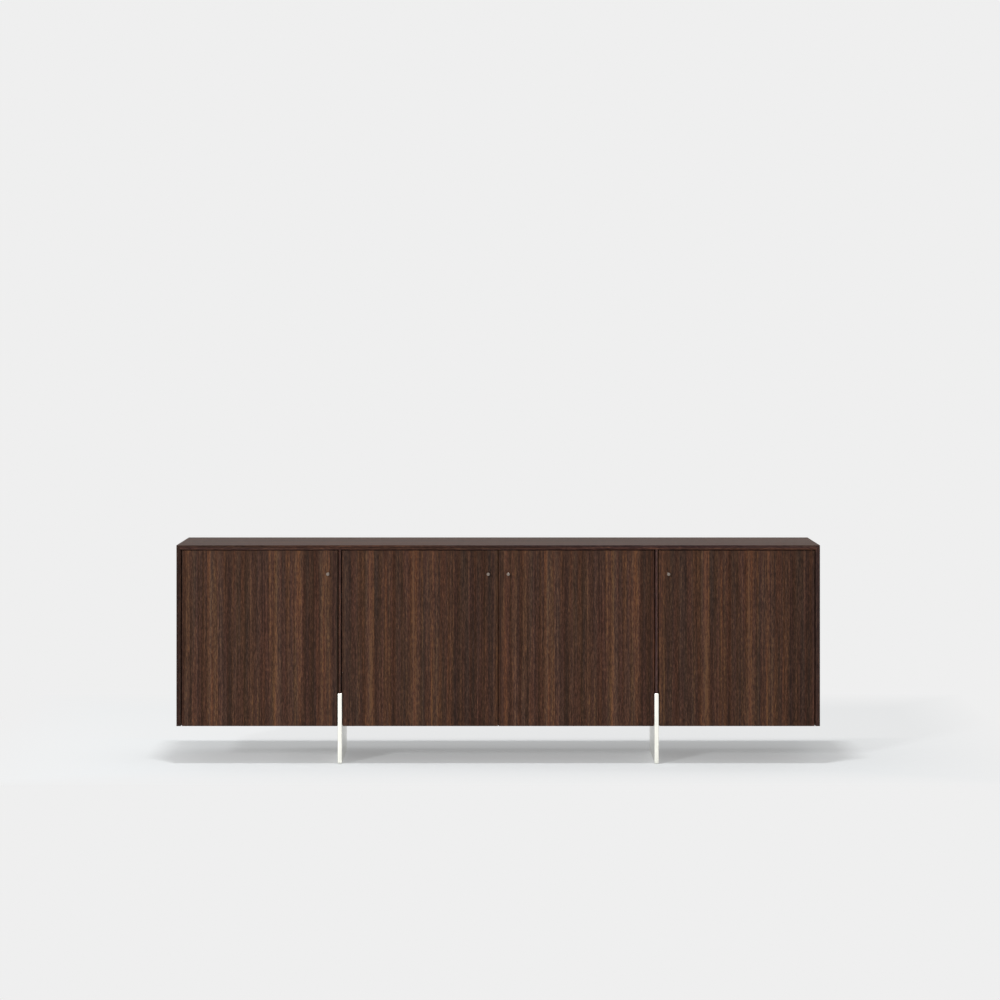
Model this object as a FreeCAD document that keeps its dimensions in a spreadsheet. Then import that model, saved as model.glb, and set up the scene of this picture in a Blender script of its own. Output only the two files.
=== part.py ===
import FreeCAD, Part
import os
import Sketcher

# Long sideboard on two plate legs, with four flush doors on concealed cup hinges.
# X runs along the width, the doors face -Y, Z is up and the floor is at zero. Millimetres.
# The left half is modelled, and the right half is its mirror image.

DIMENSIONS = (
    ("width", 2200),
    ("depth", 450),
    ("height", 748),
    ("leg_height", 130),
    # boards
    ("panel", 15),
    ("bottom_board", 19),
    ("divider_board", 8),
    ("shelf_board", 18),
    ("door_board", 19),
    ("back_board", 8),
    ("arris", 0.6),
    # gaps that show round the doors
    ("top_gap", 3),
    ("meeting_gap", 2.5),
    ("door_gap", 3.5),
    ("leg_side_gap", 2),
    ("leg_top_gap", 2),
    # joints of the carcass
    ("joint_play", 0.1),
    ("groove_depth", 6),
    ("back_inset", 12),
    ("spline_board", 4),
    ("spline_reach", 6),
    ("spline_offset", 8),
    ("spline_stop", 30),
    ("dowel_diameter", 8),
    ("dowel_in_side", 10),
    ("dowel_in_bottom", 20),
    ("small_dowel_diameter", 4),
    ("small_dowel_reach", 10),
    ("dowel_margin", 35),
    # shelves
    ("shelf_setback", 60),
    ("shelf_end_gap", 2),
    ("shelf_rear_gap", 3),
    ("pin_diameter", 5),
    ("pin_reach", 3.8),
    ("pin_seat", 9),
    ("pin_collar", 1.5),
    ("pin_collar_diameter", 8),
    ("pin_pitch", 32),
    ("pin_margin", 50),
    # legs
    ("leg_plate", 15),
    ("leg_run", 355),
    ("leg_proud", 2),
    ("upright_height", 112),
    ("upright_depth", 38),
    ("upright_play", 0.4),
    ("leg_corner", 4),
    ("leg_edge", 2.5),
    ("flange_width", 80),
    ("flange_length", 260),
    ("flange_plate", 5),
    ("flange_corner", 8),
    ("flange_hole_margin", 14),
    ("bolt_diameter", 6),
    ("bolt_head", 12),
    ("bolt_reach", 15),
    ("leg_screw_diameter", 4.5),
    ("leg_screw_head", 9),
    ("leg_screw_reach", 11),
    ("glide_lift", 2),
    ("glide_diameter", 9),
    ("glide_stem", 6),
    ("glide_stem_reach", 12),
    ("glide_inset", 25),
    # knobs
    ("knob_reach", 18),
    ("knob_diameter", 11),
    ("knob_neck", 7.5),
    ("knob_neck_length", 6),
    ("knob_bevel", 0.8),
    ("knob_inset", 33),
    ("knob_drop", 80),
    ("knob_screw_diameter", 4),
    ("knob_screw_reach", 9),
    ("knob_screw_head", 8),
    ("screw_head_height", 2.2),
    ("drive_depth", 1.2),
    # cup hinges
    ("hinge_above_upright", 45),
    ("pivot_depth", 11),
    ("swing_clearance", 0.3),
    ("hinge_pin", 3),
    ("running_play", 0.05),
    ("eye_wall", 1.1),
    ("arm_strip", 2),
    ("arm_width", 12),
    ("arm_margin", 2.1),
    ("arm_swing_margin", 1.2),
    ("arm_height", 10.5),
    ("arm_sheet", 1.5),
    ("arm_length", 62),
    ("arm_bend", 2),
    ("cup_diameter", 35),
    ("cup_offset", 4),
    ("cup_wall", 0.9),
    ("cup_rim", 1.2),
    ("cup_rim_overlap", 1.2),
    ("cup_clearance", 0.5),
    ("cup_ear_width", 18),
    ("cup_screw_spacing", 48),
    ("cup_ear_margin", 7),
    ("hinge_screw_diameter", 3.5),
    ("hinge_screw_head", 7),
    ("hinge_screw_reach", 9),
    ("wing_sheet", 2.5),
    ("wing_width", 14),
    ("wing_screw_spacing", 32),
    ("wing_margin", 6),
    ("wing_screw_reach", 6),
    ("arm_screw_diameter", 4),
    ("arm_screw_head", 7),
    ("arm_screw_reach", 6),
    ("arm_screw_spacing", 30),
    # catches, strikes and bumpers
    ("catch_width", 28),
    ("catch_depth", 14),
    ("catch_height", 18),
    ("catch_ear", 3),
    ("catch_ear_reach", 10),
    ("catch_screw_diameter", 3),
    ("catch_screw_head", 6),
    ("catch_screw_reach", 9),
    ("catch_play", 0.3),
    ("strike_diameter", 14),
    ("strike_sheet", 1.2),
    ("strike_stem", 5),
    ("strike_stem_reach", 8),
    ("strike_margin", 1),
    ("bumper_diameter", 8),
    ("bumper_thickness", 2),
    ("bumper_inset", 60),
)
PIN_ROWS = 7

# Places worked out from the dimensions. X values named LEFT are on the left half.
FRONT = "((dims.knob_reach - dims.depth) / 2)"
REAR = "((dims.knob_reach + dims.depth) / 2)"
HALF = "(dims.width / 2)"
INNER = "(dims.width / 2 - dims.panel)"
CEILING = "(dims.height - dims.panel)"
BOTTOM_TOP = "(dims.leg_height + dims.bottom_board)"
BACK_FACE = f"({REAR} - dims.back_inset - dims.back_board)"
DOOR_BACK = f"({FRONT} + dims.door_board)"
DOOR_TOP = f"({CEILING} - dims.top_gap)"
DOOR_SPACE = "(dims.divider_board + 2 * dims.door_gap)"
DOOR_WIDTH = f"((2 * {INNER} - 2 * dims.door_gap - 2 * {DOOR_SPACE} - dims.meeting_gap) / 4)"
DOOR_PITCH = f"({DOOR_WIDTH} + {DOOR_SPACE})"
DOOR_LEFT = f"(dims.door_gap - {INNER})"
DOOR_RIGHT = f"({DOOR_LEFT} + {DOOR_WIDTH})"
DIVIDER = f"({DOOR_RIGHT} + {DOOR_SPACE} / 2)"
DIVIDER_LEFT = f"({DIVIDER} - dims.divider_board / 2)"
DIVIDER_RIGHT = f"({DIVIDER} + dims.divider_board / 2)"
BOTTOM_FRONT = f"({DOOR_BACK} + dims.bumper_thickness + dims.catch_play)"
LEG_FRONT = f"({FRONT} - dims.leg_proud)"
UPRIGHT_REAR = f"({LEG_FRONT} + dims.upright_depth)"
UPRIGHT_TOP = "(dims.leg_height + dims.upright_height)"
NOTCH_REAR = f"({UPRIGHT_REAR} + dims.upright_play)"
FLANGE_MIDDLE = f"({UPRIGHT_REAR} + (dims.leg_run - dims.upright_depth) / 2)"
FLANGE_TOP = "(dims.leg_height + dims.flange_plate)"
KNOB_X = f"({DOOR_RIGHT} - dims.knob_inset)"
KNOB_Z = f"({DOOR_TOP} - dims.knob_drop)"
STRIKE_Z = f"({DOOR_TOP} - dims.strike_diameter / 2 - dims.strike_margin)"
CATCH_FRONT = f"({DOOR_BACK} + dims.strike_sheet + dims.catch_play)"
PIN_MIDDLE = f"(({BOTTOM_TOP} + {CEILING}) / 2)"
SHELF_FRONT = f"({DOOR_BACK} + dims.shelf_setback)"
SHELF_REAR = f"({BACK_FACE} - dims.shelf_rear_gap)"
SPLINE_FRONT = f"({FRONT} + dims.spline_stop)"
SPLINE_LENGTH = f"({BACK_FACE} - dims.spline_stop - {SPLINE_FRONT})"
LEG_NOTCH = "(dims.leg_plate / 2 + dims.upright_play)"
CATCH_SCREW_Y = f"({CATCH_FRONT} + dims.catch_depth / 2)"
SMALL_DOWEL_HOLE = "dims.small_dowel_reach + dims.joint_play"
LEG_SCREW_HOLE = "dims.leg_screw_diameter + 2 * dims.joint_play"
HINGE_SCREW_HOLE = "dims.hinge_screw_reach + dims.joint_play"
WING_SCREW_HOLE = "dims.wing_screw_reach + dims.joint_play"

# Each door's lower corner is notched round the leg's upright. The hinge pin stands so far in from
# the notch that its front corner swings clear of the leg.
NOTCH = f"(dims.leg_plate / 2 + dims.leg_side_gap - {DOOR_SPACE} / 2)"
NOTCH_TOP = f"({UPRIGHT_TOP} + dims.leg_top_gap)"
SWING_ROOM = "(dims.leg_side_gap - dims.swing_clearance)"
CORNER = "(dims.door_board - dims.pivot_depth)"
SETBACK = f"(({CORNER} ^ 2 - {SWING_ROOM} ^ 2) / (2 * {SWING_ROOM}) + {NOTCH})"
PIVOT_X = f"({DOOR_LEFT} + {SETBACK})"
PIVOT_Y = f"({DOOR_BACK} - dims.pivot_depth)"
CUP_X = f"({PIVOT_X} + dims.cup_offset)"
HINGE_INSET = "(dims.upright_height + dims.hinge_above_upright)"
HINGE_LOW = f"(dims.leg_height + {HINGE_INSET})"
HINGE_SPACING = f"({DOOR_TOP} - dims.leg_height - 2 * {HINGE_INSET})"

# Hinge places measured from the pin, X away from the side panel and Y into the cabinet.
EYE = "(dims.hinge_pin / 2 + dims.running_play + dims.eye_wall)"
ARM_INNER = "(dims.pivot_depth + dims.cup_rim + dims.arm_margin)"
ARM_OUTER = f"({ARM_INNER} + dims.arm_strip)"
ARM_RUN = f"(sqrt({SETBACK} ^ 2 + dims.pivot_depth ^ 2) + dims.arm_swing_margin)"
WALL = f"(-({SETBACK} + dims.door_gap))"
WEB = f"({WALL} + dims.arm_height)"
RAIL_TOP = f"({WEB} - dims.arm_sheet)"
WING_TOP = f"({WALL} + dims.wing_sheet)"
ARM_MIDDLE = f"({ARM_RUN} + dims.arm_length / 2)"
CUP_OUTSIDE = "(dims.cup_diameter / 2)"
CUP_INSIDE = f"({CUP_OUTSIDE} - dims.cup_wall)"
CUP_FLOOR = f"(-({EYE} + dims.cup_clearance))"
CUP_BASE = f"({CUP_FLOOR} - dims.cup_wall)"

doc = FreeCAD.newDocument("sideboard")
dims = doc.addObject("Spreadsheet::Sheet", "dims")
for row, (alias, size) in enumerate(DIMENSIONS, start=1):
    dims.set(f"A{row}", alias)
    dims.set(f"B{row}", str(size))
    dims.setAlias(f"B{row}", alias)
doc.recompute()

finished = []


def value(expression):
    return float(dims.evalExpression(expression))


def minus(expression):
    return f"(-{expression})"


def place(item, x="0", y="0", z="0"):
    item.setExpression("Placement.Base.x", x)
    item.setExpression("Placement.Base.y", y)
    item.setExpression("Placement.Base.z", z)


def new_body(label, x="0", y="0", z="0"):
    body = doc.addObject("PartDesign::Body", label)
    body.Label = label
    place(body, x, y, z)
    return body


def keep(*items):
    """Marks finished sub-parts, each of which is written to a file under its label."""
    finished.extend(items)


# Sketch outlines: a closed polygon, a rectangle or a circle, with places given as expressions.
def polygon(*points):
    return ("polygon", points)


def rectangle(left, right, low, high):
    return polygon((left, low), (right, low), (right, high), (left, high))


def circle(x, y, diameter):
    return ("circle", (x, y, diameter))


def bind(sketch, kind, geometry, point, expression):
    index = sketch.addConstraint(Sketcher.Constraint(kind, geometry, point, value(expression)))
    sketch.setExpression(f"Constraints[{index}]", expression)


def draw_polygon(sketch, points):
    corners = [FreeCAD.Vector(value(x), value(y), 0) for x, y in points]
    first = sketch.GeometryCount
    count = len(points)
    for index in range(count):
        sketch.addGeometry(Part.LineSegment(corners[index], corners[(index + 1) % count]))
    for index in range(count):
        following = first + (index + 1) % count
        sketch.addConstraint(Sketcher.Constraint("Coincident", first + index, 2, following, 1))
    for index, (x, y) in enumerate(points):
        bind(sketch, "DistanceX", first + index, 1, x)
        bind(sketch, "DistanceY", first + index, 1, y)


def draw_circle(sketch, x, y, diameter):
    centre = FreeCAD.Vector(value(x), value(y), 0)
    geometry = sketch.addGeometry(Part.Circle(centre, FreeCAD.Vector(0, 0, 1), value(diameter) / 2))
    bind(sketch, "DistanceX", geometry, 3, x)
    bind(sketch, "DistanceY", geometry, 3, y)
    index = sketch.addConstraint(Sketcher.Constraint("Diameter", geometry, value(diameter)))
    sketch.setExpression(f"Constraints[{index}]", diameter)


def draw(body, plane, level, outlines):
    """A sketch on one of the body's origin planes, moved along the third axis to a level."""
    sketch = body.newObject("Sketcher::SketchObject", f"{body.Name}_sketch")
    role = f"{plane}_Plane"
    support = next(item for item in body.Origin.OriginFeatures if item.Role == role)
    sketch.AttachmentSupport = [(support, "")]
    sketch.MapMode = "FlatFace"
    # the normal of the XZ plane points along -Y
    sketch.setExpression("AttachmentOffset.Base.z", minus(level) if plane == "XZ" else level)
    for kind, data in outlines:
        if kind == "polygon":
            draw_polygon(sketch, data)
        else:
            draw_circle(sketch, *data)
    return sketch


def pad(body, plane, level, length, *outlines):
    """Material added from the level along the plane's positive axis."""
    feature = body.newObject("PartDesign::Pad", f"{body.Name}_pad")
    feature.Profile = draw(body, plane, level, outlines)
    feature.setExpression("Length", length)
    feature.Reversed = plane == "XZ"
    return feature


def pocket(body, plane, level, direction, depth, *outlines):
    """Material taken away from the level, along the plane's axis (direction 1) or against it (-1)."""
    feature = body.newObject("PartDesign::Pocket", f"{body.Name}_pocket")
    feature.Profile = draw(body, plane, level, outlines)
    feature.setExpression("Length", depth)
    feature.Reversed = (direction > 0) != (plane == "XZ")
    return feature


def turn(body, axis, *profile):
    """A turned piece: the profile is (radius, place along the axis) points."""
    if axis == "X":
        sketch = draw(body, "XZ", "0", [polygon(*[(along, radius) for radius, along in profile])])
    else:
        plane = {"Y": "XY", "Z": "XZ"}[axis]
        sketch = draw(body, plane, "0", [polygon(*profile)])
    feature = body.newObject("PartDesign::Revolution", f"{body.Name}_turning")
    feature.Profile = sketch
    feature.ReferenceAxis = (sketch, ["H_Axis" if axis == "X" else "V_Axis"])
    feature.Angle = 360
    return feature


def soften(body, kind, size, wanted):
    """A fillet or chamfer on those edges of the body's last feature that pass the test."""
    doc.recompute()
    base = body.Tip
    names = [f"Edge{index}" for index, edge in enumerate(base.Shape.Edges, start=1) if wanted(edge)]
    feature = body.newObject(f"PartDesign::{kind}", f"{body.Name}_{kind.lower()}")
    feature.Base = (base, names)
    feature.setExpression("Radius" if kind == "Fillet" else "Size", size)
    return feature


def runs_along(edge, axis):
    box = edge.BoundBox
    lengths = {"X": box.XLength, "Y": box.YLength, "Z": box.ZLength}
    return all((lengths[name] > 1e-4) == (name == axis) for name in lengths)


def ease_front(board, axis):
    """A fine chamfer on the board's front edges that run along the axis."""
    front = value(FRONT)
    soften(
        board, "Chamfer", "dims.arris",
        lambda edge: runs_along(edge, axis) and abs(edge.BoundBox.YMin - front) < 1e-4,
    )


def group(label, *items):
    compound = doc.addObject("Part::Compound", label)
    compound.Label = label
    compound.Links = list(items)
    return compound


def copy_at(item, label, x="0", y="0", z="0"):
    duplicate = group(label, item)
    place(duplicate, x, y, z)
    return duplicate


def mirror(item, label):
    image = doc.addObject("Part::Mirroring", label)
    image.Label = label
    image.Source = item
    image.Normal = (1, 0, 0)
    image.Base = (0, 0, 0)
    return image


def both_sides(item, label):
    return group(label, item, mirror(item, f"{label}_image"))


def spread(low, high, count, index):
    """One of several places evenly spread from low to high."""
    return f"({low} + ({high} - {low}) * {index} / {count - 1})"


def drive_outline(head):
    """The cross-shaped recess in a screw head."""
    arm = f"({head} / 12)"
    tip = f"({head} * 0.3)"
    return polygon(
        (minus(arm), minus(tip)), (arm, minus(tip)), (arm, minus(arm)), (tip, minus(arm)),
        (tip, arm), (arm, arm), (arm, tip), (minus(arm), tip),
        (minus(arm), arm), (minus(tip), arm), (minus(tip), minus(arm)), (minus(arm), minus(arm)),
    )


def countersunk_screw(label, x, y, z, diameter, head, reach, sheet):
    """Upward screw whose head is sunk in a sheet that starts at zero."""
    body = new_body(label, x, y, z)
    cone = f"(({head} - {diameter}) / 2)"
    turn(
        body, "Z",
        ("0", "0"), (f"{head} / 2", "0"), (f"{diameter} / 2", cone),
        (f"{diameter} / 2", f"{sheet} + {reach} - {diameter} / 2"), ("0", f"{sheet} + {reach}"),
    )
    pocket(body, "XY", "0", 1, "dims.drive_depth", drive_outline(head))
    return body


def pan_screw(label, axis, sign, size, reach):
    """Screw with a low head on the side of the sign, seated at zero, its shank going the other way."""
    body = new_body(label)
    diameter = f"dims.{size}_diameter"
    head = f"dims.{size}_head"
    height = f"({sign} * dims.screw_head_height)"
    shank = f"({minus(sign)} * ({reach}))"
    turn(
        body, axis,
        ("0", shank), (f"{diameter} / 2", shank), (f"{diameter} / 2", "0"), (f"{head} / 2", "0"),
        (f"{head} / 2", f"{height} / 2"), (f"{head} / 2 - dims.screw_head_height / 2", height),
        ("0", height),
    )
    across = {"X": "YZ", "Y": "XZ", "Z": "XY"}[axis]
    pocket(body, across, height, -int(sign), "dims.drive_depth", drive_outline(head))
    return body


# Carcass dowels and where they stand
def bottom_dowel_y(index):
    low = f"({BOTTOM_FRONT} + dims.dowel_margin)"
    high = f"({BACK_FACE} - dims.dowel_margin)"
    return spread(low, high, 4, index)


def divider_dowel_y(index):
    low = f"({NOTCH_REAR} + dims.dowel_margin)"
    high = f"({BACK_FACE} - dims.dowel_margin)"
    return spread(low, high, 3, index)


def make_dowels():
    pieces = []
    middle = "(dims.leg_height + dims.bottom_board / 2)"
    for index in range(4):
        dowel = new_body(f"side_dowel_{index}", minus(INNER), bottom_dowel_y(index), middle)
        radius = "dims.dowel_diameter / 2"
        turn(
            dowel, "X",
            ("0", "-dims.dowel_in_side"), (radius, "-dims.dowel_in_side"),
            (radius, "dims.dowel_in_bottom"), ("0", "dims.dowel_in_bottom"),
        )
        pieces.append(dowel)
    for index in range(3):
        for name, level in (("lower", BOTTOM_TOP), ("upper", CEILING)):
            dowel = new_body(f"divider_dowel_{name}_{index}", DIVIDER, divider_dowel_y(index), level)
            radius = "dims.small_dowel_diameter / 2"
            turn(
                dowel, "Z",
                ("0", "-dims.small_dowel_reach"), (radius, "-dims.small_dowel_reach"),
                (radius, "dims.small_dowel_reach"), ("0", "dims.small_dowel_reach"),
            )
            pieces.append(dowel)
    keep(both_sides(group("left_dowels", *pieces), "carcass_dowels"))


def divider_dowel_holes(*signs):
    hole = "dims.small_dowel_diameter + 2 * dims.joint_play"
    holes = []
    for sign in signs:
        holes += [circle(f"{sign} * {DIVIDER}", divider_dowel_y(index), hole) for index in range(3)]
    return holes


# Mitre spline, across the mitre at 45 degrees
def spline_outline(sign, play):
    along = "(dims.spline_offset / sqrt(2))"
    half = f"((dims.spline_board / 2 + {play}) / sqrt(2))"
    reach = f"((dims.spline_reach + {play}) / sqrt(2))"
    points = []
    for out, across in ((-1, -1), (-1, 1), (1, 1), (1, -1)):
        x = f"{sign} * (-{INNER} - {along} - {across} * {half} + {out} * {reach})"
        z = f"{CEILING} + {along} + {across} * {half} + {out} * {reach}"
        points.append((x, z))
    return polygon(*points)


def make_splines():
    spline = new_body("left_spline")
    pad(spline, "XZ", SPLINE_FRONT, SPLINE_LENGTH, spline_outline("1", "0"))
    keep(both_sides(spline, "mitre_splines"))


def back_groove():
    """The groove's front and rear faces."""
    return f"{BACK_FACE} - dims.joint_play", f"{BACK_FACE} + dims.back_board + dims.joint_play"


def make_top():
    top = new_body("top_panel")
    pad(
        top, "XZ", FRONT, "dims.depth",
        polygon(
            (minus(HALF), "dims.height"), (HALF, "dims.height"),
            (INNER, CEILING), (minus(INNER), CEILING),
        ),
    )
    ease_front(top, "X")
    groove = rectangle(*back_groove(), CEILING, f"{CEILING} + dims.groove_depth")
    pocket(top, "YZ", minus(HALF), 1, "dims.width", groove)
    pocket(top, "XY", CEILING, 1, SMALL_DOWEL_HOLE, *divider_dowel_holes(1, -1))
    for sign in ("1", "-1"):
        outline = spline_outline(sign, "dims.joint_play")
        pocket(top, "XZ", SPLINE_FRONT, 1, SPLINE_LENGTH, outline)
    hole = "dims.catch_screw_diameter + 2 * dims.joint_play"
    holes = []
    for sign in ("1", "-1"):
        for x in catch_screw_xs():
            holes.append(circle(f"{sign} * {x}", CATCH_SCREW_Y, hole))
    pocket(top, "XY", CEILING, 1, "dims.catch_screw_reach + dims.joint_play", *holes)
    keep(top)


def make_sides():
    side = new_body("left_side_panel")
    pad(
        side, "XZ", FRONT, "dims.depth",
        polygon(
            (minus(HALF), "dims.leg_height"), (minus(HALF), "dims.height"),
            (minus(INNER), CEILING), (minus(INNER), "dims.leg_height"),
        ),
    )
    ease_front(side, "Z")
    groove_low = f"({BOTTOM_TOP} - dims.groove_depth)"
    groove = rectangle(f"-{INNER} - dims.groove_depth", minus(INNER), *back_groove())
    pocket(side, "XY", groove_low, 1, f"{CEILING} + dims.groove_depth - {groove_low}", groove)
    pocket(side, "XZ", SPLINE_FRONT, 1, SPLINE_LENGTH, spline_outline("1", "dims.joint_play"))
    middle = "dims.leg_height + dims.bottom_board / 2"
    hole = "dims.dowel_diameter + 2 * dims.joint_play"
    holes = [circle(bottom_dowel_y(index), middle, hole) for index in range(4)]
    pocket(side, "YZ", minus(INNER), -1, "dims.dowel_in_side + dims.joint_play", *holes)
    pocket(side, "YZ", minus(INNER), -1, WING_SCREW_HOLE, *wing_screw_holes())
    pocket(side, "YZ", minus(INNER), -1, "dims.pin_reach + dims.joint_play", *pin_holes())
    keep(side, mirror(side, "right_side_panel"))


def relieve_for_swing(bottom):
    """Rounded reliefs in the front edge, where the hinge edges of the doors swing in."""
    corners = []
    rounds = []
    for sign in ("1", "-1"):
        for wall, pivot in (
            (minus(INNER), PIVOT_X),
            (f"({DIVIDER} + {LEG_NOTCH})", f"({PIVOT_X} + {DOOR_PITCH})"),
        ):
            rear = f"{PIVOT_Y} + {ARM_RUN}"
            corners.append(rectangle(f"{sign} * {wall}", f"{sign} * {pivot}", BOTTOM_FRONT, rear))
            rounds.append(circle(f"{sign} * {pivot}", PIVOT_Y, f"2 * {ARM_RUN}"))
    pocket(bottom, "XY", "dims.leg_height", 1, "dims.bottom_board", *corners)
    pocket(bottom, "XY", "dims.leg_height", 1, "dims.bottom_board", *rounds)


def round_flange_corners(body, radius):
    """Rounds the upright corners of a flange, or of its recess."""
    low = value("dims.leg_height")
    high = value(FLANGE_TOP)

    def flange_corner(edge):
        box = edge.BoundBox
        return runs_along(edge, "Z") and abs(box.ZMin - low) < 1e-4 and abs(box.ZMax - high) < 1e-4

    soften(body, "Fillet", radius, flange_corner)


def make_bottom():
    bottom = new_body("bottom_panel")
    points = [(minus(INNER), REAR), (minus(INNER), BOTTOM_FRONT)]
    for sign in ("1", "-1"):
        middle = f"{sign} * {DIVIDER}"
        left = f"{middle} - {LEG_NOTCH}"
        right = f"{middle} + {LEG_NOTCH}"
        points += [(left, BOTTOM_FRONT), (left, NOTCH_REAR), (right, NOTCH_REAR), (right, BOTTOM_FRONT)]
    points += [(INNER, BOTTOM_FRONT), (INNER, REAR)]
    pad(bottom, "XY", "dims.leg_height", "dims.bottom_board", polygon(*points))
    relieve_for_swing(bottom)
    groove = rectangle(*back_groove(), f"{BOTTOM_TOP} - dims.groove_depth", BOTTOM_TOP)
    pocket(bottom, "YZ", minus(HALF), 1, "dims.width", groove)
    middle = "dims.leg_height + dims.bottom_board / 2"
    hole = "dims.dowel_diameter + 2 * dims.joint_play"
    holes = [circle(bottom_dowel_y(index), middle, hole) for index in range(4)]
    depth = "dims.dowel_in_bottom + dims.joint_play"
    pocket(bottom, "YZ", minus(INNER), 1, depth, *holes)
    pocket(bottom, "YZ", INNER, -1, depth, *holes)
    pocket(bottom, "XY", BOTTOM_TOP, -1, SMALL_DOWEL_HOLE, *divider_dowel_holes(1, -1))
    half_width = "(dims.flange_width / 2 + dims.joint_play)"
    half_length = "(dims.flange_length / 2 + dims.joint_play)"
    recesses = []
    pilots = []
    for sign in ("1", "-1"):
        middle = f"({sign} * {DIVIDER})"
        recesses.append(
            rectangle(
                f"{middle} - {half_width}", f"{middle} + {half_width}",
                f"{FLANGE_MIDDLE} - {half_length}", f"{FLANGE_MIDDLE} + {half_length}",
            )
        )
        for x, y in flange_screw_places():
            pilots.append(circle(f"{middle} + {x}", f"{FLANGE_MIDDLE} + {y}", LEG_SCREW_HOLE))
    pocket(bottom, "XY", "dims.leg_height", 1, "dims.flange_plate", *recesses)
    round_flange_corners(bottom, "dims.flange_corner + dims.joint_play")
    pocket(bottom, "XY", FLANGE_TOP, 1, "dims.leg_screw_reach + dims.joint_play", *pilots)
    keep(bottom)


def make_back():
    back = new_body("back_panel")
    inside = f"({INNER} + dims.groove_depth - dims.joint_play)"
    low = f"{BOTTOM_TOP} - dims.groove_depth + dims.joint_play"
    high = f"{CEILING} + dims.groove_depth - dims.joint_play"
    pad(back, "XZ", BACK_FACE, "dims.back_board", rectangle(minus(inside), inside, low, high))
    keep(back)


def make_dividers():
    divider = new_body("left_divider")
    notch_top = f"({UPRIGHT_TOP} + dims.upright_play)"
    pad(
        divider, "YZ", DIVIDER_LEFT, "dims.divider_board",
        polygon(
            (FRONT, notch_top), (FRONT, CEILING), (BACK_FACE, CEILING),
            (BACK_FACE, BOTTOM_TOP), (NOTCH_REAR, BOTTOM_TOP), (NOTCH_REAR, notch_top),
        ),
    )
    ease_front(divider, "Z")
    pocket(divider, "XY", CEILING, -1, SMALL_DOWEL_HOLE, *divider_dowel_holes(1))
    pocket(divider, "XY", BOTTOM_TOP, 1, SMALL_DOWEL_HOLE, *divider_dowel_holes(1))
    pocket(divider, "YZ", DIVIDER_RIGHT, -1, WING_SCREW_HOLE, *wing_screw_holes())
    pocket(divider, "YZ", DIVIDER_LEFT, 1, "dims.divider_board", *pin_holes())
    keep(divider, mirror(divider, "right_divider"))


# Shelves on pins
def pin_columns():
    return f"({SHELF_FRONT} + dims.pin_margin)", f"({SHELF_REAR} - dims.pin_margin)"


def pin_holes():
    hole = "dims.pin_diameter + 2 * dims.joint_play"
    holes = []
    for row in range(PIN_ROWS):
        level = f"{PIN_MIDDLE} + {row - PIN_ROWS // 2} * dims.pin_pitch"
        holes += [circle(column, level, hole) for column in pin_columns()]
    return holes


def make_shelf(label, left, right):
    shelf = new_body(label)
    pad(
        shelf, "XY", f"{PIN_MIDDLE} + dims.pin_diameter / 2", "dims.shelf_board",
        rectangle(f"{left} + dims.shelf_end_gap", f"{right} - dims.shelf_end_gap", SHELF_FRONT, SHELF_REAR),
    )
    soften(shelf, "Chamfer", "dims.arris", lambda edge: True)
    keep(shelf)
    return shelf


def make_shelf_pin(label, wall, direction, column):
    pin = new_body(label, wall, column, PIN_MIDDLE)
    radius = "dims.pin_diameter / 2"
    collar = "dims.pin_collar_diameter / 2"
    inside = f"(-{direction} * dims.pin_reach)"
    flange = f"({direction} * dims.pin_collar)"
    seat = f"({direction} * dims.pin_seat)"
    turn(
        pin, "X",
        ("0", inside), (radius, inside), (radius, "0"), (collar, "0"),
        (collar, flange), (radius, flange), (radius, seat), ("0", seat),
    )
    return pin


def make_shelves():
    left = make_shelf("left_shelf", minus(INNER), DIVIDER_LEFT)
    keep(mirror(left, "right_shelf"))
    make_shelf("centre_shelf", DIVIDER_RIGHT, minus(DIVIDER_RIGHT))
    pins = []
    for place_name, wall, direction in (
        ("side", minus(INNER), 1),
        ("divider_left", DIVIDER_LEFT, -1),
        ("divider_right", DIVIDER_RIGHT, 1),
    ):
        for index, column in enumerate(pin_columns()):
            pins.append(make_shelf_pin(f"{place_name}_pin_{index}", wall, direction, column))
    keep(both_sides(group("left_pins", *pins), "shelf_pins"))


# Legs
def flange_screw_places():
    x = "(dims.flange_width / 2 - dims.flange_hole_margin)"
    y = "(dims.flange_length / 2 - dims.flange_hole_margin)"
    return [(f"{side} * {x}", f"{row} * {y}") for side in (-1, 1) for row in (-1, 0, 1)]


def bolt_places():
    y = "(dims.flange_length / 2 - 2 * dims.flange_hole_margin)"
    return [f"{row} * {y}" for row in (-1, 0, 1)]


def glide_places():
    return f"({LEG_FRONT} + dims.glide_inset)", f"({LEG_FRONT} + dims.leg_run - dims.glide_inset)"


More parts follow.
